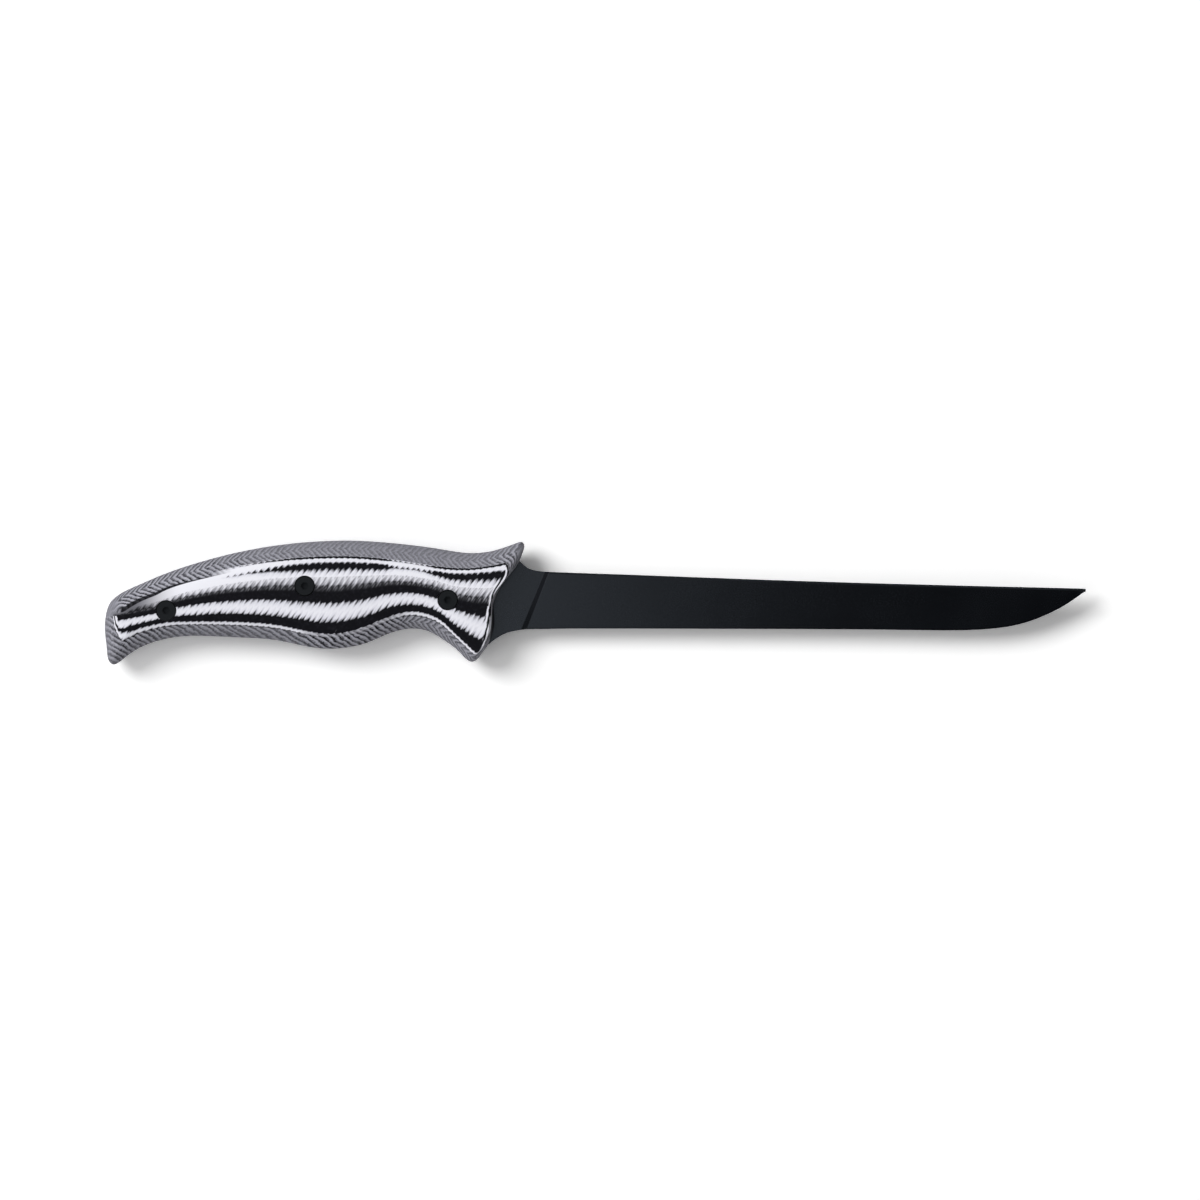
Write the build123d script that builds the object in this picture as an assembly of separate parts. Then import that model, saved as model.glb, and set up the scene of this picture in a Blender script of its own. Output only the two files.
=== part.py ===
from build123d import *
import math
import os

# A full-tang fillet knife lying on its side: +X to the tip, +Y to the spine, +Z out of the right-hand scale.
# The pieces are drawn with x = 0 at the front of the handle and z = 0 in the middle of the steel,
# and moved at the end so that the origin is under the middle of the whole knife.

# Blade
blade_length = 203.2
blade_depth = 20.0
stock = 2.3
ground_stock = 2.1
tip_stock = 1.0
spine_chamfer = 0.35
edge_shoulder = 0.36
edge_flat = 0.06
edge_bevel = 0.8
plunge_top_run = 1.3
plunge_edge_run = 1.8

# Handle
handle_length = 151.4
handle_depth = 44.5
scale_thickness = 10.6
dome_drop = 1.0
crest_over = 0.06
flank_turn = 50.0
apron = 26.0
apron_fall = 0.16

# Screws and barrel nuts
head_diameter = 7.4
head_height = 2.8
head_chamfer = 0.35
head_sink = 0.25
hex_key = 2.5
hex_depth = 1.7
thread_diameter = 4.0
barrel_diameter = 5.4
barrel_gap = 1.0
nut_floor = 0.5
tip_gap = 0.8

# Clearances, and how far a cutter runs past what it cuts
head_clearance = 0.06
barrel_clearance = 0.08
thread_clearance = 0.06
overrun = 5.0

# Each row is a point of the handle's outline in the tang plane and the point of the scale's face that it
# rises to, both as shares of the handle's length from the butt and of its depth from the centre line.
rim_shares = (
    ((0.017, 0.000), (0.032, -0.097)),
    ((0.041, 0.061), (0.046, -0.035)),
    ((0.074, 0.114), (0.084, 0.015)),
    ((0.132, 0.199), (0.139, 0.076)),
    ((0.227, 0.309), (0.227, 0.167)),
    ((0.323, 0.392), (0.318, 0.249)),
    ((0.418, 0.448), (0.418, 0.305)),
    ((0.514, 0.477), (0.509, 0.327)),
    ((0.597, 0.482), (0.592, 0.328)),
    ((0.705, 0.456), (0.700, 0.292)),
    ((0.800, 0.414), (0.795, 0.244)),
    ((0.872, 0.381), (0.867, 0.233)),
    ((0.919, 0.395), (0.910, 0.248)),
    ((0.955, 0.429), (0.938, 0.263)),
    ((0.984, 0.466), (0.958, 0.275)),
    ((0.995, 0.471), (0.964, 0.275)),
    ((1.000, 0.450), (0.966, 0.264)),
    ((0.998, 0.398), (0.965, 0.236)),
    ((0.989, 0.317), (0.960, 0.195)),
    ((0.972, 0.232), (0.948, 0.138)),
    ((0.950, 0.138), (0.934, 0.075)),
    ((0.934, 0.041), (0.924, 0.000)),
    ((0.927, -0.065), (0.919, -0.081)),
    ((0.929, -0.179), (0.918, -0.179)),
    ((0.922, -0.292), (0.915, -0.268)),
    ((0.912, -0.374), (0.907, -0.337)),
    ((0.898, -0.439), (0.901, -0.374)),
    ((0.889, -0.479), (0.895, -0.392)),
    ((0.876, -0.502), (0.888, -0.385)),
    ((0.864, -0.486), (0.880, -0.353)),
    ((0.848, -0.431), (0.864, -0.305)),
    ((0.812, -0.333), (0.829, -0.215)),
    ((0.776, -0.260), (0.790, -0.134)),
    ((0.740, -0.232), (0.747, -0.089)),
    ((0.705, -0.244), (0.709, -0.095)),
    ((0.669, -0.284), (0.671, -0.136)),
    ((0.621, -0.353), (0.623, -0.205)),
    ((0.573, -0.388), (0.573, -0.256)),
    ((0.526, -0.396), (0.526, -0.268)),
    ((0.478, -0.376), (0.478, -0.242)),
    ((0.406, -0.325), (0.406, -0.195)),
    ((0.323, -0.305), (0.323, -0.172)),
    ((0.239, -0.292), (0.239, -0.167)),
    ((0.179, -0.297), (0.184, -0.169)),
    ((0.120, -0.337), (0.132, -0.184)),
    ((0.079, -0.394), (0.089, -0.215)),
    ((0.046, -0.471), (0.060, -0.249)),
    ((0.030, -0.512), (0.041, -0.275)),
    ((0.018, -0.523), (0.033, -0.279)),
    ((0.010, -0.500), (0.029, -0.260)),
    ((0.004, -0.406), (0.027, -0.223)),
    ((0.000, -0.284), (0.026, -0.187)),
    ((0.000, -0.162), (0.026, -0.150)),
    ((0.005, -0.073), (0.028, -0.122)),
)

# Stations of the domed face: along the handle, height of the crest line, reach up and down to the rim,
# and how far the crest falls, as a share of the dome's drop.
dome_station_shares = (
    (-0.010, -0.138, 0.130, 0.165, 2.30),
    (0.012, -0.130, 0.125, 0.160, 1.30),
    (0.032, -0.106, 0.118, 0.155, 0.45),
    (0.060, -0.089, 0.105, 0.150, 0.05),
    (0.108, -0.070, 0.115, 0.129, 0.00),
    (0.227, 0.010, 0.157, 0.176, 0.00),
    (0.347, 0.058, 0.206, 0.232, 0.00),
    (0.466, 0.059, 0.262, 0.295, 0.00),
    (0.537, 0.050, 0.281, 0.318, 0.00),
    (0.609, 0.069, 0.256, 0.288, 0.00),
    (0.705, 0.108, 0.182, 0.206, 0.00),
    (0.776, 0.077, 0.171, 0.187, 0.00),
    (0.848, -0.016, 0.249, 0.262, 0.00),
    (0.907, -0.049, 0.297, 0.330, 0.00),
    (0.955, -0.057, 0.325, 0.345, 0.00),
    (1.010, -0.065, 0.341, 0.350, 0.00),
)

# The dome's section: how far across from crest to rim, and how far down as a share of the dome's drop.
dome_below_shares = ((-1.7, 2.00), (-1.3, 1.34), (-1.0, 0.86), (-0.66, 0.43), (-0.2, 0.04))
dome_above_shares = (
    (0.234, 0.05),
    (0.5, 0.20),
    (0.755, 0.45),
    (0.936, 0.76),
    (1.0, 0.92),
    (1.25, 1.55),
    (1.5, 2.15),
)
rim_fall_share = 0.82

# Sections of the ground blade: along the blade, spine and edge as shares of the blade's depth.
blade_station_shares = (
    (-0.016, 0.5300, -0.5330),
    (0.045, 0.5064, -0.5215),
    (0.075, 0.4968, -0.5175),
    (0.171, 0.4632, -0.5162),
    (0.278, 0.4223, -0.5179),
    (0.385, 0.3814, -0.5213),
    (0.492, 0.3431, -0.5260),
    (0.599, 0.3088, -0.5320),
    (0.679, 0.2858, -0.5425),
    (0.759, 0.2648, -0.5503),
    (0.813, 0.2514, -0.5344),
    (0.866, 0.2386, -0.4727),
    (0.893, 0.2320, -0.4058),
    (0.920, 0.2254, -0.3069),
    (0.947, 0.2186, -0.1798),
    (0.973, 0.2119, -0.0242),
    (0.989, 0.2077, 0.0930),
    (0.999, 0.2030, 0.1530),
)

# The ricasso: its curve into the spine above, the foot of the sloping face along its plunge line, how deep
# that face reaches there as a share of half the stock, and its curve into the edge below.
ricasso_above_shares = (
    (-0.020, 0.680),
    (-0.008, 0.702),
    (-0.001, 0.637),
    (0.006, 0.582),
    (0.016, 0.541),
    (0.026, 0.522),
)
plunge_shares = ((0.0442, 0.508), (0.0043, -0.529))
plunge_floor_shares = (0.84, 0.09)
ricasso_below_shares = (
    (-0.002, -0.5335),
    (-0.011, -0.5478),
    (-0.021, -0.5680),
    (-0.0317, -0.5990),
    (-0.0424, -0.6505),
    (-0.0531, -0.7200),
    (-0.0638, -0.8080),
)
ricasso_root_shares = ((-0.100, -0.600), (-0.100, 0.550))

# Where the three screws stand, as shares of the handle.
screw_shares = {
    "rear": (0.146, -0.085),
    "middle": (0.4765, 0.114),
    "front": (0.818, 0.000),
}

head_top = stock / 2 + scale_thickness - head_sink
head_under = head_top - head_height
flank_steps = 6
tang_spans = 9


def handle_point(share, z=0.0):
    """A point given by its shares of the handle."""
    return Vector((share[0] - 1) * handle_length, share[1] * handle_depth, z)


def blade_point(share, z=0.0):
    """A point given by its shares of the blade."""
    return Vector(share[0] * blade_length, share[1] * blade_depth, z)


def rim_edge(rise, z):
    """The scale's outline at height z, a share of the way in from the tang's outline to the face's rim."""
    base = [handle_point(outer) for outer, inner in rim_shares]
    points = []
    for outer, inner in rim_shares:
        start = handle_point(outer, z)
        points.append(start + (handle_point(inner, z) - start) * rise)
    # The spline's parameters follow the tang's outline at every height, so that the heights match up.
    parameters = [0.0]
    for start, end in zip(base, base[1:] + base[:1]):
        parameters.append(parameters[-1] + (end - start).length)
    return Edge.make_spline(points, periodic=True, parameters=parameters)


def tang_face():
    """The tang's outline, which the scales share, in short spans."""
    rim = rim_edge(0.0, 0.0)
    return Face(Wire([rim.trim(i / tang_spans, (i + 1) / tang_spans) for i in range(tang_spans)]))


def flank_solid():
    """A solid with the scale's rounded flanks, carried on in the same curve past the rim of its face."""
    rim_height = scale_thickness - dome_drop * rim_fall_share
    full_turn = math.radians(flank_turn)
    wires = []
    for step in range(flank_steps + 2):
        turn = full_turn * step / flank_steps
        rise = (1 - math.cos(turn)) / (1 - math.cos(full_turn))
        z = stock / 2 + rim_height * math.sin(turn) / math.sin(full_turn)
        wires.append(Wire([rim_edge(rise, z)]))
    return Solid.make_loft(wires)


def dome_section(along, crest, above, below, fall):
    """The section of all that lies under the domed face at one station, with sloping aprons past the rim."""
    x = (along - 1) * handle_length
    level = stock / 2 + scale_thickness + crest_over - fall * dome_drop
    middle = crest * handle_depth
    rows = [(middle + below * handle_depth * a, level - dome_drop * d) for a, d in dome_below_shares]
    rows += [(middle, level)]
    rows += [(middle + above * handle_depth * a, level - dome_drop * d) for a, d in dome_above_shares]
    parameters = [a for a, d in dome_below_shares] + [0.0] + [a for a, d in dome_above_shares]
    roof = [Vector(x, y, z) for y, z in rows]
    near = roof[0] + Vector(0, -apron, -apron * apron_fall)
    far = roof[-1] + Vector(0, apron, -apron * apron_fall)
    low_near = Vector(x, near.Y, -overrun)
    low_far = Vector(x, far.Y, -overrun)
    edges = [Edge.make_line(near, roof[0]), Edge.make_spline(roof, parameters=parameters)]
    edges += [Edge.make_line(roof[-1], far), Edge.make_line(far, low_far)]
    edges += [Edge.make_line(low_far, low_near), Edge.make_line(low_near, near)]
    return Wire(edges)


def blade_section(along, spine, edge):
    """The blade's eight-sided section at one station."""
    thickness = ground_stock + (tip_stock - ground_stock) * max(along, 0.0)
    depth = (spine - edge) * blade_depth
    chamfer = min(spine_chamfer, depth / 8)
    bevel = min(edge_bevel, depth / 4)
    shoulder = min(edge_shoulder, thickness / 2)
    top = spine * blade_depth
    bottom = edge * blade_depth
    right = [
        (top, thickness / 2 - chamfer),
        (top - 2 * chamfer, thickness / 2),
        (bottom + bevel, shoulder / 2),
        (bottom, edge_flat / 2),
    ]
    left = [(y, -z) for y, z in reversed(right)]
    x = along * blade_length
    return Wire.make_polygon([Vector(x, y, z) for y, z in right + left], close=True)


def ground_solid():
    """The flat-ground blade in front of the plunge line."""
    ground = Solid.make_loft([blade_section(*station) for station in blade_station_shares])
    top, bottom = (blade_point(share) for share in plunge_shares)
    line = (top - bottom).normalized()
    corners = [
        top + line * overrun,
        Vector(blade_length + overrun, blade_depth + overrun),
        Vector(blade_length + overrun, -blade_depth - overrun),
        bottom - line * overrun,
    ]
    front = extrude(make_face(Polyline(*corners, close=True)), amount=stock, both=True)
    return ground & front


def ricasso_face():
    """The flat of the blade between the scales and the plunge line."""
    top, bottom = (blade_point(share) for share in plunge_shares)
    above = [blade_point(share) for share in ricasso_above_shares] + [top]
    below = [bottom] + [blade_point(share) for share in ricasso_below_shares]
    root = [below[-1]] + [blade_point(share) for share in ricasso_root_shares] + [above[0]]
    return make_face([Spline(*above), Line(top, bottom), Spline(*below), Polyline(*root)])


def plunge_slope():
    """What is taken off the right-hand side of the ricasso, so that a sloping face leads down to the grind."""
    top, bottom = (blade_point(share) for share in plunge_shares)
    along = (top - bottom).normalized()
    flat = Vector(0, 0, stock / 2)
    sky = Vector(0, 0, overrun)
    ends = []
    runs = (plunge_top_run, plunge_edge_run)
    for foot, share, run in zip((top + along, bottom - along), plunge_floor_shares, runs):
        low = foot + flat * share
        back = Vector(0, 0, run).cross(along)
        ends.append(Wire.make_polygon([low, foot + sky, foot + back + sky, foot + back + flat], close=True))
    return Solid.make_loft(ends, True)


def screw_places():
    """Each screw's name and its place."""
    return {name: handle_point(share) for name, share in screw_shares.items()}


def post(diameter, low, high):
    """A round post on the Z axis from one height to another."""
    return Pos(0, 0, low) * Cylinder(diameter / 2, high - low, align=(Align.CENTER, Align.CENTER, Align.MIN))


def head():
    """A flat round head with a broken edge and a hex recess."""
    body = post(head_diameter, head_under, head_top)
    body = chamfer(body.edges().group_by(Axis.Z)[-1], head_chamfer)
    key = RegularPolygon(hex_key / 2, 6, major_radius=False)
    return body - Pos(0, 0, head_top - hex_depth) * extrude(key, amount=hex_depth + overrun)


def screw():
    """A socket screw, its head in the right-hand scale and its plain shank reaching into the nut."""
    return head() + post(thread_diameter, -head_under + nut_floor + tip_gap, head_under)


def nut():
    """A barrel nut, a head in the left-hand scale with a bored barrel through the tang."""
    barrel = post(barrel_diameter, -head_under, head_under - barrel_gap)
    bore = post(thread_diameter + 2 * thread_clearance, -head_under + nut_floor, head_under)
    return mirror(head(), about=Plane.XY) + barrel - bore


def scale():
    """The right-hand scale: its sheet's flat face is left as a narrow land along the dome's crest."""
    dome = Solid.make_loft([dome_section(*station) for station in dome_station_shares])
    sheet = Pos(-handle_length / 2, 0, stock / 2) * Box(
        2 * handle_length, 2 * handle_depth, scale_thickness, align=(Align.CENTER, Align.CENTER, Align.MIN)
    )
    solid = flank_solid() & dome & sheet
    for place in screw_places().values():
        through = post(barrel_diameter + 2 * barrel_clearance, 0, head_top)
        seat = post(head_diameter + 2 * head_clearance, head_under, head_top + overrun)
        solid = solid - Pos(place) * (through + seat)
    return solid


def blade():
    """Blade and tang in one piece of steel."""
    solid = extrude(tang_face() + ricasso_face(), amount=stock / 2, both=True)
    slope = plunge_slope()
    solid = solid - slope - mirror(slope, about=Plane.XY) + ground_solid()
    for place in screw_places().values():
        solid = solid - Pos(place) * post(barrel_diameter + 2 * barrel_clearance, -stock, stock)
    return solid


def build():
    """All the pieces by name, with the origin under the middle of the whole knife."""
    pieces = {"blade": blade()}
    pieces["right_scale"] = scale()
    pieces["left_scale"] = mirror(pieces["right_scale"], about=Plane.XY)
    for name, place in screw_places().items():
        pieces[name + "_screw"] = Pos(place) * screw()
        pieces[name + "_nut"] = Pos(place) * nut()
    box = Compound(children=[Compound(piece.solids()) for piece in pieces.values()]).bounding_box()
    middle = box.center()
    move = Pos(-middle.X, -middle.Y, -box.min.Z)
    return {name: move * piece for name, piece in pieces.items()}


os.makedirs("parts", exist_ok=True)
for name, piece in build().items():
    export_step(piece, "parts/" + name + ".step")
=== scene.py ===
"""Looks of a fillet knife: a satin black blade, scales of black and white laminate and black screws."""

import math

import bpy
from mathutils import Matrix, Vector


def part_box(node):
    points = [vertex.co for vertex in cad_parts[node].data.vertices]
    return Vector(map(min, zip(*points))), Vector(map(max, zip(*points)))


bl_info = {
    "name": "Fillet knife",
    "version": (1, 0, 0),
    "blender": (4, 5, 0),
    "location": "3D View > Sidebar > Knife",
    "description": "Finishes a full-tang fillet knife and sets it in a plain pale studio",
    "category": "Object",
}

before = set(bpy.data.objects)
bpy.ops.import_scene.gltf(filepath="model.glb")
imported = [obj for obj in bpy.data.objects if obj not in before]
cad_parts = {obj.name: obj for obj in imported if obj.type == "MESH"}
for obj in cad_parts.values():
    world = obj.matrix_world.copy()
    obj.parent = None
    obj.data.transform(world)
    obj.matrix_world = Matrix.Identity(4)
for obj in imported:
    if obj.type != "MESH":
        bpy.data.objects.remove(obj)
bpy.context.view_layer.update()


def middle(node):
    """The middle of a node's box."""
    low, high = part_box(node)
    return (low + high) / 2


# The handle is placed by its screws: how far along it the rear and front ones stand, as shares of its length
# from the butt, and how high the rear one stands over its centre line, as a share of its depth.
rear_screw_share = 0.146
front_screw_share = 0.818
rear_screw_height_share = -0.085
handle_depth = 0.0445
handle_length = (middle("front_screw").x - middle("rear_screw").x) / (front_screw_share - rear_screw_share)
butt_x = middle("rear_screw").x - rear_screw_share * handle_length
front_x = butt_x + handle_length
centre_y = middle("rear_screw").y - rear_screw_height_share * handle_depth
steel_z = middle("blade").z

# How high the crest stands over the middle of the steel, and how far the round flanks turn up to the face.
crest_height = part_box("right_scale")[1].z - steel_z
flank_turn = math.radians(50)

# The narrow plunge face: how it leans, where it crosses the centre line in front of the handle, how far from
# its middle its coating is painted paler, as painted light that lifts the face's shade, and between which
# heights the painted light comes in.
plunge_lean = 0.403
plunge_middle = 0.00424
plunge_lift_reach = (0.0006, 0.0012)
plunge_lift_heights = (-0.011, 0.004)

# The laminate's bands. Each row is a station along the handle: the line of the top black ply's middle, and
# how far the face reaches above and below it, as shares of the handle's depth.
band_station_shares = (
    (0.000, -0.136, 0.020, 0.150),
    (0.041, -0.126, 0.024, 0.149),
    (0.060, -0.118, 0.053, 0.131),
    (0.084, -0.106, 0.087, 0.116),
    (0.107, -0.093, 0.108, 0.110),
    (0.119, -0.085, 0.116, 0.108),
    (0.143, -0.057, 0.130, 0.124),
    (0.174, -0.024, 0.137, 0.147),
    (0.227, 0.012, 0.151, 0.179),
    (0.347, 0.058, 0.194, 0.236),
    (0.466, 0.059, 0.257, 0.293),
    (0.537, 0.050, 0.278, 0.316),
    (0.609, 0.069, 0.256, 0.288),
    (0.705, 0.108, 0.184, 0.206),
    (0.776, 0.077, 0.182, 0.196),
    (0.848, -0.020, 0.256, 0.290),
    (0.907, -0.049, 0.297, 0.385),
    (0.955, -0.057, 0.325, 0.400),
    (1.000, -0.065, 0.341, 0.405),
)

# How many plies are sanded away at each place across the face, from its lower rim (-1) to its upper rim (1).
sanded_reach_share = 1.5
sanded_plies_share = (
    (-1.50, 1.62),
    (-1.00, 1.60),
    (-0.70, 1.00),
    (-0.26, 0.00),
    (0.03, -0.60),
    (0.28, 0.00),
    (0.68, 1.00),
    (0.92, 2.00),
    (1.00, 2.40),
    (1.50, 2.45),
)

# How many plies the face above the crest is higher near the butt, from one share of the handle's length to
# another, and the highest that it gets.
butt_lift_share = (0.07, 0.15, 0.6, 0.0)
highest_plies = -0.75

# The butt cuts down through the plies along a leaning line: how far it leans, the height where it meets the
# end of the butt, how far the cut reaches along the handle, and how many plies it goes through.
butt_lean_share = 0.106
butt_end_share = -0.149
butt_reach_share = 0.08
butt_plies_share = (
    (0.0000, 5.00),
    (0.0120, 3.00),
    (0.0185, 2.00),
    (0.0235, 1.00),
    (0.0298, 0.00),
    (0.0450, -1.50),
    (0.0800, -1.50),
)

# The face's front rim, from the bottom to the top: shares of the handle's depth and of its length. Then how
# many plies more are cut through from the rim backwards, over the front reach.
front_depth_share = 0.5
front_line_shares = (
    (-0.430, 0.898),
    (-0.392, 0.905),
    (-0.337, 0.911),
    (-0.268, 0.915),
    (-0.179, 0.918),
    (-0.081, 0.919),
    (0.000, 0.924),
    (0.075, 0.934),
    (0.138, 0.948),
    (0.195, 0.960),
    (0.236, 0.965),
    (0.275, 0.966),
)
front_plies_share = (
    (0.00, 2.20),
    (0.20, 1.50),
    (0.45, 0.60),
    (0.70, 0.00),
    (1.00, 0.00),
)

# In front of the front rim the laminate is painted dark, as painted shade on the steep front flank that
# faces
# away from the light: how far in front, and between which heights.
front_shade_share = (0.003, 0.007)
front_shade_foot_share = (-0.37, -0.30)
front_shade_head_share = (0.16, 0.23, 1.0, 0.0)
front_shade_darkness = 0.97

# How much deeper the lower rim lies at the lower guard horn, and from where to where it goes down.
horn_rim_depth = 0.0013
horn_rim_share = (0.79, 0.86)

# The soft upper side of the crest's black ply: how many plies down it reaches, how much more the weave moves
# it, how much further apart its limits stand, and where across the face the black fades out of it.
crest_side_plies = 0.5
crest_weave = 0.9
crest_black_reach = 0.86
crest_white_reach = 1.0
crest_fade_share = (0.03, 0.22, 1.0, 0.0)

# The limits of the bands on a wave that is -1 in the middle of a black ply and 1 in that of a white one, and
# how far broad unevenness moves them, in plies.
black_limit = -0.34
white_limit = 0.36
uneven_plies = 0.25

# How far the upper black ply is hidden, along the handle: 2 hides it and 0 shows it whole. Then between
# which plies this counts, and how much the weave moves the edge of what is left.
upper_hidden_share = (
    (0.00, 2.20),
    (0.26, 2.00),
    (0.29, 1.15),
    (0.33, 0.92),
    (0.38, 0.55),
    (0.43, 0.15),
    (0.47, 0.00),
    (0.66, 0.00),
    (0.70, 0.80),
    (0.74, 0.80),
    (0.79, 0.10),
    (0.83, 0.00),
    (1.00, 0.00),
)
hidden_first_ply = 0.6
hidden_last_ply = 2.6
hidden_weave = 0.5

# The butt is dim and stained above the crest, from one share of the handle's length to another.
butt_dim_share = (0.05, 0.19, 0.8, 0.0)
butt_stain_share = (0.05, 0.14, 1.2, 0.0)

# How many plies down the lower and the upper flank can still be told apart, and over how many they blur. At
# the rear they blur past the upper rim as well, over a share of the handle's depth.
lower_clear_plies = 3.2
upper_clear_plies = 3.9
blurring_plies = (-0.15, 0.3)
rear_share = (0.24, 0.31, 1.0, 0.0)
rim_blur_share = (0.0, 0.006)

# Where the lower strokes are bolder than this they break up the lower rim's plies, in front of a place.
breaking_boldness = 0.75
breaking_gain = 2.0
breaking_start_share = 0.3
broken_plies = (1.9, 2.2)

# The dark line along the upper rim near the butt: how thick it is, where its sides and its rear end lie, and
# how dark it is.
rim_line_share = (
    (0.000, 0.030),
    (0.050, 0.042),
    (0.070, 0.040),
    (0.090, 0.034),
    (0.155, 0.024),
    (0.200, 0.014),
    (1.000, 0.011),
)
rim_line_inner_share = (-0.006, 0.004)
rim_line_outer_share = (-0.006, 0.006, 1.0, 0.0)
rim_line_rear_share = (0.025, 0.045)
rim_line_darkness = 0.95

# How boldly the strokes of the weave show along the upper and the lower flank.
upper_stroke_shares = (
    (0.000, 0.10),
    (0.025, 0.20),
    (0.060, 0.85),
    (0.130, 0.80),
    (0.300, 0.65),
    (0.420, 0.35),
    (0.870, 0.30),
    (0.940, 0.50),
    (1.000, 0.65),
)
lower_stroke_shares = (
    (0.00, 0.35),
    (0.02, 0.60),
    (0.05, 0.85),
    (0.17, 0.65),
    (0.27, 0.55),
    (0.45, 0.70),
    (0.53, 1.10),
    (0.66, 1.05),
    (0.77, 0.60),
    (1.00, 0.55),
)

# How far up a flank its chevrons turn, in front of which place the lower flank has chevrons too, how sharp
# the strokes are, how they fade towards the steel, and how dark the lower flank is at its rim.
chevron_middle_share = 0.45
lower_chevrons_share = 0.71
stroke_limits = (-0.7, 0.7, -1.0, 1.0)
stroke_fade_share = (0.1, 1.0, 0.65, 1.0)
lower_rim_shade_share = (0.6, 1.0, 0.0, 0.3)

# The waves that make the weave's ridges and the strokes: how many to a pitch, their shift and their height.
ridge_waves = ((1.0, 0.0, 0.65), (0.5, 0.2, 0.20), (2.0, 0.3, 0.25))
stroke_waves = ((1.0, 0.0, 0.85), (2.0, 0.3, 0.25))

# The kinds of unevenness: cells to the metre, and layers of finer detail.
cloud_noise = (60.0, 3.0)
uneven_noise = (90.0, 2.0)
patch_noise = (160.0, 2.0)
wander_noise = (260.0, 2.0)
fleck_noise = (900.0, 2.0)
fibre_noise = (1500.0, 3.0)
grain_noise = (2500.0, 4.0)
speck_noise = (4200.0, 2.0)

# How far the ridges and the strokes wander, in pitches. Then how high the ragged fibres stand, how much of
# them shows in the strokes and on the flanks, and how far they are drawn out along the ridges.
ridge_wander = 0.4
stroke_wander = 1.1
ragged_height = 2.4
stroke_raggedness = 0.6
flank_raggedness = 0.14
fibre_stretch = 0.25

# How a white ply shows the black one beneath it: a base, less in its middle, more on ridges and fibres.
# Then where a black ply has sanded flecks.
streak_base = 0.55
streak_by_band = -0.8
streak_by_ridge = 0.1
streak_by_fibre = 0.7
fleck_limits = (0.45, 0.8)

# The laminate's relief from its ridges, grain and white plies, how deep it is, and its roughness.
ridge_relief = 0.5
grain_relief = 0.8
white_relief = 0.3
laminate_relief_depth = 0.00002
laminate_relief_strength = 0.6
laminate_roughness = 0.52
fibre_roughness = 0.14
white_roughness = 0.06

# The black coatings: where they are hazy, how uneven their gloss is, and how deep their blasted grain is.
haze_limits = (0.3, 0.7)
cloud_roughness = 0.06
speck_roughness = 0.10
blade_grain = 0.000012
screw_grain = 0.000008
coating_relief_strength = 0.5

# The studio: the floor, the lamps and the camera. The walls' limits are on a direction's rise or lean.
floor_size = 24.0
floor_cells = 4
wall_top_share = (0.55, 0.95)
right_wall_share = (0.0, 0.6)
horizon_share = (0.1, 0.35, 1.0, 0.0)
key_place = (-0.70, 0.45, 1.0)
panel_place = (-0.236, 0.0, 0.55)
panel_length = 0.5
panel_depth = 0.6
camera_x = 0.0017
sensor_width = 36.0
nearest_seen = 0.05
furthest_seen = 100.0


class Field:
    """A value that varies over a surface. Sums, products and comparisons of fields add Math nodes."""

    def __init__(self, tree, socket=None):
        self.tree = tree
        self.socket = socket

    def node(self, kind, inputs, output=0, points=None, **settings):
        """Adds a node with its settings, then its inputs' values or links, and gives one of its outputs."""
        made = self.tree.nodes.new(kind)
        for name, value in settings.items():
            setattr(made, name, value)
        if points:
            made.mapping.use_clip = False
            curve = made.mapping.curves[0]
            for place, value in points[2:]:
                curve.points.new(place, value)
            for point, place in zip(curve.points, sorted(points)):
                point.location = place
            made.mapping.update()
        for name, value in inputs.items():
            if isinstance(value, Field):
                self.tree.links.new(value.socket, made.inputs[name])
            else:
                made.inputs[name].default_value = value
        return Field(self.tree, made.outputs[output] if made.outputs else None)

    def beside(self, output):
        """Another output of the node that this field comes from."""
        return Field(self.tree, self.socket.node.outputs[output])

    def maths(self, operation, *others):
        """This field and others through one Math node."""
        terms = dict(enumerate((self, *others)))
        return self.node("ShaderNodeMath", terms, operation=operation)

    def __add__(self, other):
        return self.maths("ADD", other)

    __radd__ = __add__

    def __mul__(self, other):
        return self.maths("MULTIPLY", other)

    __rmul__ = __mul__

    def __sub__(self, other):
        return self.maths("SUBTRACT", other)

    def __rsub__(self, other):
        return self * -1.0 + other

    def __truediv__(self, other):
        return self.maths("DIVIDE", other)

    def __abs__(self):
        return self.maths("ABSOLUTE")

    def __gt__(self, other):
        return self.maths("GREATER_THAN", other)

    def __lt__(self, other):
        return self.maths("LESS_THAN", other)

    def at_least(self, other):
        """The larger of this field and another value."""
        return self.maths("MAXIMUM", other)

    def at_most(self, other):
        """The smaller of this field and another value."""
        return self.maths("MINIMUM", other)

    def zigzag(self):
        """A wave of straight slopes from -1 to 1, one for each whole number."""
        return 1.0 - 4.0 * abs(self.maths("FRACT") - 0.5)

    def eased(self, low, high, start=0.0, end=1.0):
        """Runs smoothly from start to end as this field goes from low to high."""
        limits = {"From Min": low, "From Max": high, "To Min": start, "To Max": end}
        return self.node("ShaderNodeMapRange", {"Value": self, **limits}, interpolation_type="SMOOTHSTEP")

    def along_curve(self, rows, low=0.0, high=1.0):
        """Reads a smooth curve through rows of (place, value) at the place that this field gives."""
        points = [((place - low) / (high - low), value) for place, value in rows]
        place = (self - low) / (high - low)
        return self.node("ShaderNodeFloatCurve", {"Value": place}, points=points)


def new_material(name):
    """A material with an empty tree, and a field to start from."""
    material = bpy.data.materials.new(name)
    material.use_nodes = True
    material.node_tree.nodes.clear()
    return material, Field(material.node_tree)


def finish_surface(start, inputs):
    """Closes a material with a Principled BSDF."""
    surface = start.node("ShaderNodeBsdfPrincipled", inputs)
    start.node("ShaderNodeOutputMaterial", {"Surface": surface})


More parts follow.
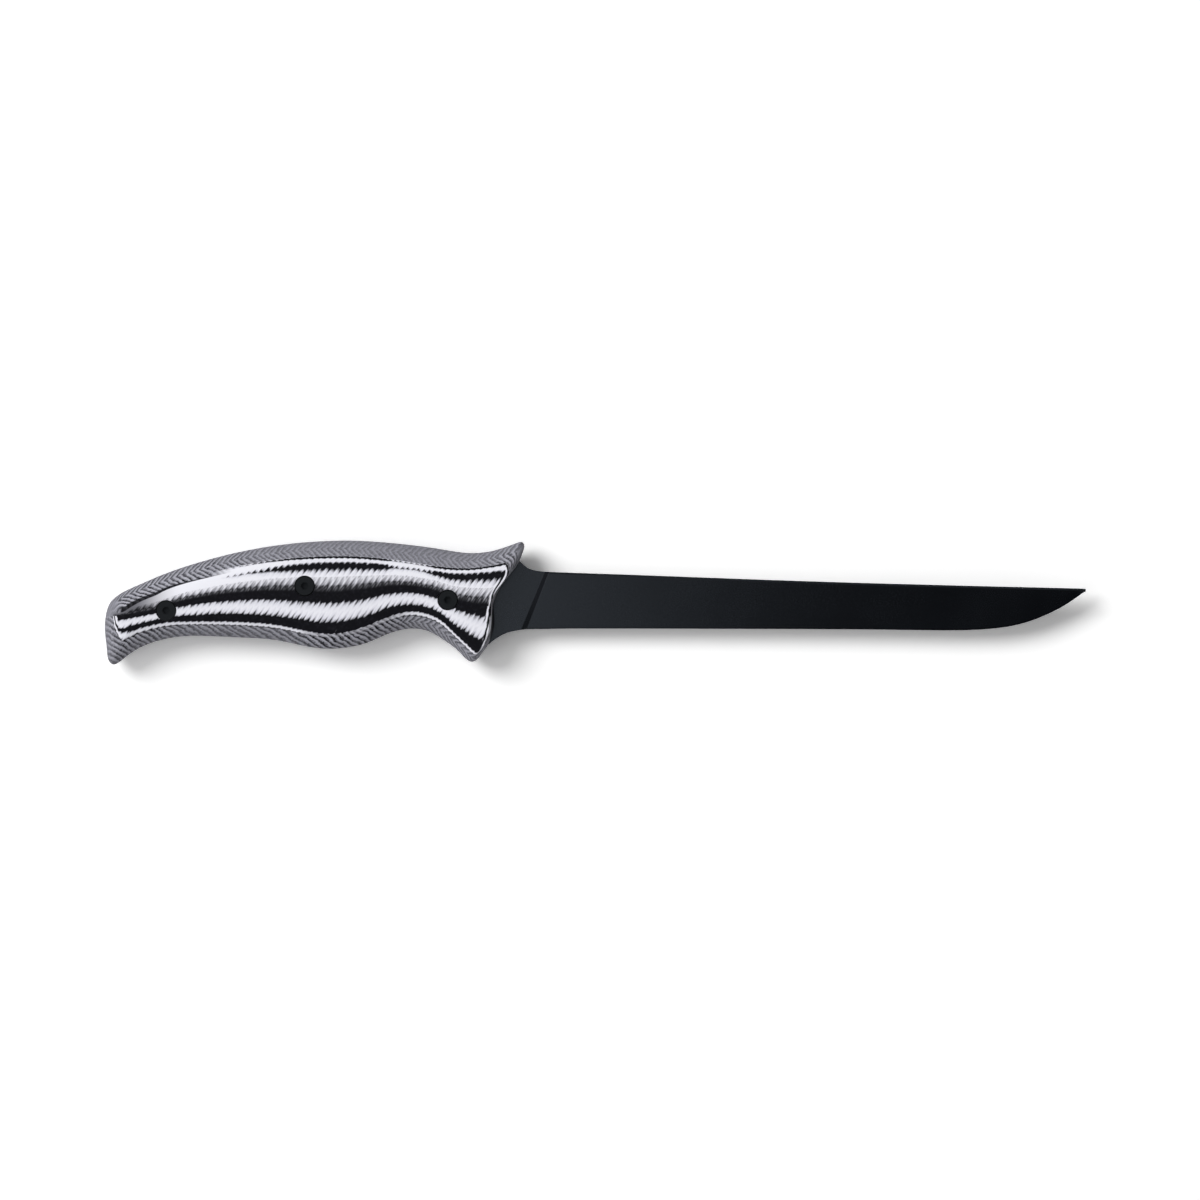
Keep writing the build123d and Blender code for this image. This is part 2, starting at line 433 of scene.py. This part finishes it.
def object_place(start):
    """The place on the object as a vector, in metres."""
    return start.node("ShaderNodeTexCoord", {}, output="Object")


def axes(vector):
    """A vector's three numbers as fields."""
    split = vector.node("ShaderNodeSeparateXYZ", {0: vector})
    return [split.beside(name) for name in ("X", "Y", "Z")]


def mixed(factor, first, second):
    """A colour between two others."""
    return factor.node("ShaderNodeMix", {0: factor, 6: first, 7: second}, output=2, data_type="RGBA")


def noise(vector, cells, detail):
    """Smooth random values round one half."""
    inputs = {"Vector": vector, "Scale": cells, "Detail": detail}
    return vector.node("ShaderNodeTexNoise", inputs, output="Fac")


def summed_waves(place, waves):
    """Zigzag waves added up, each given by how many fit in one, its shift and its height."""
    return sum((place * times + shift).zigzag() * height for times, shift, height in waves)


class HandlePlace:
    """Where a point of a scale lies: in metres, along the handle, and across its face from the crest."""

    def __init__(self, start):
        self.place = object_place(start)
        self.x, self.y, self.z = axes(self.place)
        self.along = (self.x - butt_x) / handle_length
        self.height = (self.y - centre_y) / handle_depth
        stations, *columns = zip(*band_station_shares)
        rows = (list(zip(stations, column)) for column in columns)
        crest, above, below = map(self.along.along_curve, rows)
        offset = self.height - crest
        self.upper = offset > 0.0
        self.lower = 1.0 - self.upper
        self.share = offset / self.by_side(below, above)
        self.past_rim = offset - above
        self.rear = self.upper * self.along.eased(*rear_share)
        self.front_line = self.height.along_curve(front_line_shares, -front_depth_share, front_depth_share)

    def by_side(self, lower, upper):
        """One value below the crest and another above it."""
        return lower + (upper - lower) * self.upper


class Weave:
    """The weave of the plies, whose ridges lean and whose fibres are ragged, as heights round zero."""

    def __init__(self, start, at, settings):
        across = at.x - at.y * math.tan(settings.weave_lean)
        fibres = start.node("ShaderNodeCombineXYZ", {0: across, 1: at.y * fibre_stretch, 2: at.z})
        self.fibre = noise(fibres, *fibre_noise)
        self.ragged = (self.fibre - 0.5) * ragged_height
        self.wander = noise(at.place, *wander_noise) - 0.5
        self.ridges = summed_waves(across / settings.weave_pitch + self.wander * ridge_wander, ridge_waves)


def face_plies(at, settings):
    """How many plies below the crest's black one the sanded face lies."""
    face = at.share.along_curve(sanded_plies_share, -sanded_reach_share, sanded_reach_share)
    face = (face - at.along.eased(*butt_lift_share) * at.upper).at_least(highest_plies)
    butt = (at.along + (at.height - butt_end_share) * butt_lean_share).at_most(butt_reach_share)
    face = face.at_least(butt.along_curve(butt_plies_share, 0.0, butt_reach_share))
    to_front = (at.front_line - at.along) * (handle_length / settings.front_reach)
    return face + to_front.at_least(0.0).at_most(1.0).along_curve(front_plies_share)


def flank_plies(at, settings):
    """How many plies the flank cuts through, and how far up it a point is: 0 at the steel, 1 at the rim."""
    rim_depth = settings.rim_depth + at.along.eased(*horn_rim_share) * horn_rim_depth * at.lower
    above_steel = abs(at.z - steel_z)
    ply = at.by_side(settings.lower_ply, settings.ply)
    flank = ((crest_height - above_steel - rim_depth) / ply).at_least(0.0)
    turn = (above_steel / (crest_height - rim_depth) * math.sin(flank_turn)).at_most(1.0)
    across = (1.0 - (1.0 - turn * turn).maths("SQRT")) / (1.0 - math.cos(flank_turn))
    return flank, across


def hidden_ply(at, weave, face):
    """How far the upper black ply is hidden, with an edge that follows the weave."""
    hidden = at.along.along_curve(upper_hidden_share)
    hidden = hidden + weave.ridges * hidden.at_most(hidden_weave)
    return hidden * (face > hidden_first_ply) * (1.0 - (face > hidden_last_ply)) * at.upper


def clear_white(at, wave, near_crest):
    """How white the laminate is where its plies can be told apart."""
    low = black_limit - near_crest * crest_black_reach
    high = white_limit + near_crest * crest_white_reach
    white = wave.eased(low, high) * (1.0 - near_crest * at.share.eased(*crest_fade_share))
    return white * (1.0 - at.along.eased(*butt_dim_share) * at.upper)


def blurred_zone(at, plies):
    """1 where the plies are too thin to tell apart and 0 on the bands."""
    clear = at.by_side(lower_clear_plies, upper_clear_plies)
    blurred = (plies - clear).eased(*blurring_plies).at_least(at.past_rim.eased(*rim_blur_share) * at.rear)
    bold = at.along.along_curve(lower_stroke_shares) - breaking_boldness
    broken = (bold * breaking_gain).at_least(0.0) * at.lower * (at.along > breaking_start_share)
    return blurred.at_least(plies.eased(*broken_plies) * broken)


def rim_line(at):
    """The dark line along the upper rim near the butt."""
    outer = at.past_rim - at.along.along_curve(rim_line_share)
    line = at.past_rim.eased(*rim_line_inner_share) * outer.eased(*rim_line_outer_share)
    return line * at.rear * at.along.eased(*rim_line_rear_share)


def flank_strokes(at, weave, across, settings):
    """The flanks' strokes from -1 to 1: chevrons above and at the front, and slants below."""
    chevrons = at.x / settings.stroke_pitch - abs(across - chevron_middle_share) * settings.chevron_depth
    lean = settings.stroke_lean
    slants = (at.x * math.sin(lean) + at.y * math.cos(lean)) / settings.slant_pitch
    strokes = slants + (chevrons - slants) * at.upper.at_least(at.along > lower_chevrons_share)
    strokes = summed_waves(strokes + weave.wander * stroke_wander, stroke_waves)
    strokes = strokes + weave.ragged * stroke_raggedness
    return strokes.eased(*stroke_limits) * across.eased(*stroke_fade_share)


def blurred_white(at, weave, across, settings):
    """How white the laminate is where its plies are too thin to tell apart."""
    below, above = (at.along.along_curve(rows) for rows in (lower_stroke_shares, upper_stroke_shares))
    boldness = at.by_side(below, above)
    boldness = boldness * (noise(at.place, *patch_noise) + 0.5)
    strokes = flank_strokes(at, weave, across, settings) * boldness * settings.stroke_depth
    white = settings.flank_white + strokes + weave.ragged * flank_raggedness
    white = white * (1.0 - rim_line(at) * rim_line_darkness)
    return white * (1.0 - across.eased(*lower_rim_shade_share) * at.lower)


def front_painted_shade(at):
    """Painted shade on the front flank: 1 in front of the face's front rim, between its foot and head, 0
    elsewhere.
    """
    edge = (at.along - at.front_line).eased(*front_shade_share)
    return edge * at.height.eased(*front_shade_foot_share) * at.height.eased(*front_shade_head_share)


def laminate_colour(at, weave, wave, white, blurred, settings):
    """Black plies with sanded flecks, and white ones that show the black beneath where they are thin."""
    streaks = streak_base + wave * streak_by_band
    streaks = streaks + weave.ridges * streak_by_ridge + weave.fibre * streak_by_fibre
    thin = streaks.eased(0.0, 1.0) * settings.streak_depth
    thin = thin.at_least(at.along.eased(*butt_stain_share) * at.upper).at_least(blurred)
    pale = mixed(thin, settings.white_ply[:], settings.stained_ply[:])
    flecks = noise(at.place, *fleck_noise).eased(*fleck_limits)
    dark = mixed(flecks, settings.black_ply[:], settings.worn_ply[:])
    return mixed(white.at_least(0.0), dark, pale)


def laminate_material(settings):
    """Sanded black and white glass-fibre laminate, whose plies show as bands with a weave's ragged edges."""
    material, start = new_material("laminate")
    at = HandlePlace(start)
    weave = Weave(start, at, settings)
    face = face_plies(at, settings)
    flank, across = flank_plies(at, settings)

    # The weave moves the plies up and down, and one wave spans a black and a white ply
    near_crest = at.upper * (face < crest_side_plies)
    weave_height = settings.weave_height * (near_crest * crest_weave + 1.0)
    uneven = (noise(at.place, *uneven_noise) - 0.5) * uneven_plies
    plies = face + flank + (weave.ridges + weave.ragged) * weave_height + uneven
    wave = (plies * 0.5 + 0.25).zigzag() + hidden_ply(at, weave, face)

    # Further down the flank many thin plies meet the surface, and the weave breaks them into strokes
    white = clear_white(at, wave, near_crest)
    blurred = blurred_zone(at, face + flank)
    white = white + (blurred_white(at, weave, across, settings) - white) * blurred
    # The front flank is painted dark, as painted shade where it faces away from the light
    white = white * (1.0 - front_painted_shade(at) * front_shade_darkness)

    grain = noise(at.place, *grain_noise)
    relief = weave.ridges * ridge_relief + grain * grain_relief + white * white_relief
    depth = {"Distance": laminate_relief_depth, "Strength": laminate_relief_strength}
    fibres = noise(at.place, *fibre_noise)
    roughness = laminate_roughness + fibres * fibre_roughness + white * white_roughness
    finish_surface(start, {
        "Base Color": laminate_colour(at, weave, wave, white, blurred, settings),
        "Roughness": roughness,
        "Normal": start.node("ShaderNodeBump", {"Height": relief, **depth}),
        "Specular IOR Level": settings.gloss,
    })
    return material


def plunge_painted_light(place):
    """Painted light on the plunge face: where a paler coating colour lifts its shade, most towards the
    spine.
    """
    x, y = axes(place)[:2]
    height = y - centre_y
    across = x - front_x - height * plunge_lean - plunge_middle
    return abs(across).eased(*plunge_lift_reach, 1.0, 0.0) * height.eased(*plunge_lift_heights)


def coating_material(name, colours, roughness, shine, grain, painted_light=None):
    """A thin black coating with a fine blasted grain: its colour, its haze and, where painted light lifts
    it, a third.
    """
    material, start = new_material(name)
    place = object_place(start)
    cloud = noise(place, *cloud_noise)
    speck = noise(place, *speck_noise)
    colour = mixed(((cloud + speck) * 0.5).eased(*haze_limits), *colours[:2])
    if painted_light:
        # Painted light: the paler third colour where the given mask lifts the shade
        colour = mixed(painted_light(place), colour, colours[2])
    relief = {"Height": speck, "Distance": grain, "Strength": coating_relief_strength}
    finish_surface(start, {
        "Base Color": colour,
        "Roughness": roughness + (cloud - 0.5) * cloud_roughness + (speck - 0.5) * speck_roughness,
        "Normal": start.node("ShaderNodeBump", relief),
        **shine,
    })
    return material


def dress(node, material):
    """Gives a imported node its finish."""
    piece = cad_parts[node]
    piece.data.materials.clear()
    piece.data.materials.append(material)


class KnifeLaminate(bpy.types.PropertyGroup):
    """Sizes and colours of the scales' laminate."""

    ply: bpy.props.FloatProperty(
        name="Ply", description="Thickness of one ply at the upper rim",
        default=0.0005, precision=5, unit="LENGTH",
    )
    lower_ply: bpy.props.FloatProperty(
        name="Lower ply", description="Thickness of one ply at the lower rim",
        default=0.0008, precision=5, unit="LENGTH",
    )
    rim_depth: bpy.props.FloatProperty(
        name="Rim depth", description="From the crest down to the rim of the face",
        default=0.00078, precision=5, unit="LENGTH",
    )
    front_reach: bpy.props.FloatProperty(
        name="Front reach", description="How far from the front rim the bands turn",
        default=0.0025, precision=4, unit="LENGTH",
    )
    weave_pitch: bpy.props.FloatProperty(
        name="Weave pitch", description="From one ridge of the weave to the next",
        default=0.0021, precision=4, unit="LENGTH",
    )
    weave_lean: bpy.props.FloatProperty(
        name="Weave lean", description="Angle of the ridges from upright",
        default=math.radians(33), unit="ROTATION",
    )
    weave_height: bpy.props.FloatProperty(
        name="Weave height", description="Height of a ridge in plies",
        default=0.21,
    )
    stroke_pitch: bpy.props.FloatProperty(
        name="Stroke pitch", description="From one chevron to the next on the upper flank",
        default=0.0021, precision=4, unit="LENGTH",
    )
    chevron_depth: bpy.props.FloatProperty(
        name="Chevron depth", description="Strokes that a chevron spans between the steel and the rim",
        default=4.0,
    )
    slant_pitch: bpy.props.FloatProperty(
        name="Slant pitch", description="Between slanted strokes on the lower flank",
        default=0.0017, precision=4, unit="LENGTH",
    )
    stroke_lean: bpy.props.FloatProperty(
        name="Stroke lean", description="Angle of the lower flank's strokes from the handle's length",
        default=math.radians(32), unit="ROTATION",
    )
    stroke_depth: bpy.props.FloatProperty(
        name="Stroke depth", description="How strongly the strokes show on the flanks",
        default=0.44,
    )
    flank_white: bpy.props.FloatProperty(
        name="Flank white", description="Share of white where the plies are too thin to tell apart",
        default=0.40,
    )
    streak_depth: bpy.props.FloatProperty(
        name="Streak depth", description="How strongly the fibres show in the white plies",
        default=0.7,
    )
    gloss: bpy.props.FloatProperty(
        name="Gloss", description="Specular level of the sanded laminate",
        default=0.03, min=0.0, max=1.0,
    )
    white_ply: bpy.props.FloatVectorProperty(
        name="White ply", description="Colour of a white ply",
        default=(0.86, 0.86, 0.92, 1.0), size=4, subtype="COLOR",
    )
    stained_ply: bpy.props.FloatVectorProperty(
        name="Thin white ply", description="Colour of a white ply worn thin",
        default=(0.60, 0.60, 0.68, 1.0), size=4, subtype="COLOR",
    )
    black_ply: bpy.props.FloatVectorProperty(
        name="Black ply", description="Colour of a black ply",
        default=(0.0062, 0.0062, 0.0082, 1.0), size=4, subtype="COLOR",
    )
    worn_ply: bpy.props.FloatVectorProperty(
        name="Sanded black ply", description="Colour of sanded fibres in a black ply",
        default=(0.012, 0.012, 0.016, 1.0), size=4, subtype="COLOR",
    )


class KnifeSteel(bpy.types.PropertyGroup):
    """Colours and finish of the coated steel."""

    blade_colour: bpy.props.FloatVectorProperty(
        name="Blade", description="Colour of the blade's coating",
        default=(0.0008, 0.0010, 0.0017, 1.0), size=4, subtype="COLOR",
    )
    blade_haze: bpy.props.FloatVectorProperty(
        name="Blade haze", description="Colour of the coating where it is paler",
        default=(0.0014, 0.0017, 0.0026, 1.0), size=4, subtype="COLOR",
    )
    # Painted light: a paler coating colour on the plunge face that lifts its shade
    blade_painted_light: bpy.props.FloatVectorProperty(
        name="Painted light on plunge", description="Colour of the coating on the plunge face",
        default=(0.012, 0.013, 0.016, 1.0), size=4, subtype="COLOR",
    )
    blade_roughness: bpy.props.FloatProperty(
        name="Blade roughness", description="Roughness of the blade's coating",
        default=0.26, min=0.0, max=1.0,
    )
    blade_gloss: bpy.props.FloatProperty(
        name="Blade gloss", description="Specular level of the blade's coating",
        default=0.42, min=0.0, max=1.0,
    )
    tint: bpy.props.FloatVectorProperty(
        name="Tint", description="Colour of the light that the blade and the screws reflect",
        default=(0.76, 0.86, 1.0, 1.0), size=4, subtype="COLOR",
    )
    screw_colour: bpy.props.FloatVectorProperty(
        name="Screws", description="Colour of the blacked screws",
        default=(0.0060, 0.0064, 0.0066, 1.0), size=4, subtype="COLOR",
    )
    screw_haze: bpy.props.FloatVectorProperty(
        name="Screw haze", description="Colour of the screws where the black is thin",
        default=(0.008, 0.0085, 0.009, 1.0), size=4, subtype="COLOR",
    )
    screw_roughness: bpy.props.FloatProperty(
        name="Screw roughness", description="Roughness of the blacked screws",
        default=0.45, min=0.0, max=1.0,
    )
    screw_gloss: bpy.props.FloatProperty(
        name="Screw gloss", description="Specular level of the blacked screws",
        default=0.12, min=0.0, max=1.0,
    )


class KnifeStudio(bpy.types.PropertyGroup):
    """Camera, lamps and floor."""

    view_width: bpy.props.FloatProperty(
        name="View width", description="Width of the view across the knife",
        default=0.4338, unit="LENGTH",
    )
    camera_height: bpy.props.FloatProperty(
        name="Camera height", description="Height of the camera above the steel",
        default=12.0, unit="LENGTH",
    )
    key_strength: bpy.props.FloatProperty(
        name="Key light", description="Strength of the main light",
        default=1.75,
    )
    key_spread: bpy.props.FloatProperty(
        name="Key spread", description="Apparent size of the main light",
        default=math.radians(30), unit="ROTATION",
    )
    panel_power: bpy.props.FloatProperty(
        name="Panel", description="Power of the soft panel over the handle",
        default=1.1, unit="POWER",
    )
    fill: bpy.props.FloatProperty(
        name="Fill", description="Strength of the studio's walls",
        default=0.55,
    )
    ceiling: bpy.props.FloatProperty(
        name="Ceiling", description="Strength of the studio's ceiling",
        default=0.03,
    )
    right_wall: bpy.props.FloatProperty(
        name="Right wall", description="Share of the walls' light that the right-hand wall gives",
        default=0.4,
    )
    floor_seen: bpy.props.FloatProperty(
        name="Floor white", description="Whiteness of the floor as it is seen",
        default=1.3,
    )
    floor_bounce: bpy.props.FloatProperty(
        name="Floor bounce", description="Whiteness of the floor as it lights the knife",
        default=0.6,
    )


class KNIFE_OT_coat_blade(bpy.types.Operator):
    """Coat the blade in satin black"""

    bl_idname = "knife.coat_blade"
    bl_label = "Coat the blade"

    def execute(self, context):
        steel = context.scene.knife_steel
        colours = (steel.blade_colour[:], steel.blade_haze[:], steel.blade_painted_light[:])
        shine = {"Specular IOR Level": steel.blade_gloss, "Specular Tint": steel.tint[:]}
        finish = (colours, steel.blade_roughness, shine, blade_grain)
        # The plunge face gets painted light: a paler colour that lifts its shade
        coat = coating_material("blade_coating", *finish, painted_light=plunge_painted_light)
        dress("blade", coat)
        return {"FINISHED"}


class KNIFE_OT_finish_scales(bpy.types.Operator):
    """Finish both scales in sanded laminate"""

    bl_idname = "knife.finish_scales"
    bl_label = "Finish the scales"

    def execute(self, context):
        laminate = laminate_material(context.scene.knife_laminate)
        for node in ("right_scale", "left_scale"):
            dress(node, laminate)
        return {"FINISHED"}


class KNIFE_OT_black_screws(bpy.types.Operator):
    """Black the screws and the barrel nuts"""

    bl_idname = "knife.black_screws"
    bl_label = "Black the screws"

    def execute(self, context):
        steel = context.scene.knife_steel
        colours = (steel.screw_colour[:], steel.screw_haze[:])
        shine = {"Specular IOR Level": steel.screw_gloss, "Specular Tint": steel.tint[:]}
        black = coating_material("black_oxide", colours, steel.screw_roughness, shine, screw_grain)
        for node in sorted(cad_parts):
            if node.endswith(("_screw", "_nut")):
                dress(node, black)
        return {"FINISHED"}


class KNIFE_OT_set_stage(bpy.types.Operator):
    """Set the floor, the lamps and the camera"""

    bl_idname = "knife.set_stage"
    bl_label = "Set the stage"

    def execute(self, context):
        studio = context.scene.knife_studio
        add_floor(studio)
        add_studio_walls(studio)
        add_lamps(studio)
        add_camera(studio)
        context.scene.view_settings.view_transform = "Standard"
        return {"FINISHED"}


def seen_directly(start):
    """1 for rays from the camera, from a gloss or through glass, and 0 for the rest."""
    camera = start.node("ShaderNodeLightPath", {}, output="Is Camera Ray")
    return camera.at_least(camera.beside("Is Glossy Ray")).at_least(camera.beside("Is Transmission Ray"))


def add_floor(studio):
    """A pale floor under the knife that keeps its shadow."""
    bpy.ops.object.select_all(action="DESELECT")
    bpy.ops.mesh.primitive_grid_add(size=floor_size, x_subdivisions=floor_cells, y_subdivisions=floor_cells)
    floor = bpy.context.object
    floor.name = "studio_floor"
    material, start = new_material("studio_floor")
    seen, bounce = ([level] * 3 + [1.0] for level in (studio.floor_seen, studio.floor_bounce))
    colour = mixed(seen_directly(start), bounce, seen)
    surface = start.node("ShaderNodeBsdfDiffuse", {"Color": colour})
    start.node("ShaderNodeOutputMaterial", {"Surface": surface})
    floor.data.materials.append(material)


def add_studio_walls(studio):
    """Walls that fade to a dim ceiling and are dimmer on the right, and a white horizon behind the floor."""
    world = bpy.data.worlds.new("studio")
    bpy.context.scene.world = world
    world.use_nodes = True
    world.node_tree.nodes.clear()
    start = Field(world.node_tree)
    right, _, up = axes(start.node("ShaderNodeTexCoord", {}, output="Generated"))
    walls = up.eased(*wall_top_share, studio.fill, studio.ceiling)
    walls = walls * right.eased(*right_wall_share, 1.0, studio.right_wall)
    horizon = up.eased(*horizon_share) * seen_directly(start)
    strength = walls + (1.0 - walls) * horizon
    surface = start.node("ShaderNodeBackground", {"Color": (1.0, 1.0, 1.0, 1.0), "Strength": strength})
    start.node("ShaderNodeOutputWorld", {"Surface": surface})


def aimed_lamp(name, kind, place, target):
    """A lamp at a place, turned to a target."""
    lamp = bpy.data.objects.new(name, bpy.data.lights.new(name, kind))
    bpy.context.scene.collection.objects.link(lamp)
    lamp.location = place
    lamp.rotation_euler = (Vector(target) - Vector(place)).to_track_quat("-Z", "Y").to_euler()
    return lamp.data


def add_lamps(studio):
    """A soft key from the upper left, and a panel over the handle that faces straight down."""
    key = aimed_lamp("key", "SUN", key_place, (0.0, 0.0, 0.0))
    key.energy = studio.key_strength
    key.angle = studio.key_spread
    panel = aimed_lamp("panel", "AREA", panel_place, (*panel_place[:2], 0.0))
    panel.energy = studio.panel_power
    panel.shape = "RECTANGLE"
    panel.size = panel_length
    panel.size_y = panel_depth


def add_camera(studio):
    """A long lens straight above the knife."""
    camera = bpy.data.objects.new("camera", bpy.data.cameras.new("camera"))
    bpy.context.scene.collection.objects.link(camera)
    camera.data.sensor_width = sensor_width
    camera.data.lens = sensor_width * studio.camera_height / studio.view_width
    camera.data.clip_start = nearest_seen
    camera.data.clip_end = furthest_seen
    camera.location = (camera_x, centre_y, steel_z + studio.camera_height)
    bpy.context.scene.camera = camera


class KNIFE_PT_panel(bpy.types.Panel):
    """Buttons for each part of the knife's finish"""

    bl_idname = "KNIFE_PT_panel"
    bl_label = "Fillet knife"
    bl_space_type = "VIEW_3D"
    bl_region_type = "UI"
    bl_category = "Knife"

    def draw(self, context):
        for operator in operators:
            self.layout.operator(operator.bl_idname)
        for group in group_names:
            settings = getattr(context.scene, group)
            for name in settings.bl_rna.properties.keys():
                if name not in ("rna_type", "name"):
                    self.layout.prop(settings, name)


operators = (KNIFE_OT_coat_blade, KNIFE_OT_finish_scales, KNIFE_OT_black_screws, KNIFE_OT_set_stage)
group_names = {"knife_laminate": KnifeLaminate, "knife_steel": KnifeSteel, "knife_studio": KnifeStudio}
classes = (*group_names.values(), *operators, KNIFE_PT_panel)


def register():
    for made in classes:
        bpy.utils.register_class(made)
    for name, group in group_names.items():
        setattr(bpy.types.Scene, name, bpy.props.PointerProperty(type=group))


def unregister():
    for name in group_names:
        delattr(bpy.types.Scene, name)
    for made in reversed(classes):
        bpy.utils.unregister_class(made)


def main():
    """Builds the whole scene in order."""
    register()
    bpy.ops.knife.coat_blade()
    bpy.ops.knife.finish_scales()
    bpy.ops.knife.black_screws()
    bpy.ops.knife.set_stage()


if __name__ == "__main__":
    main()
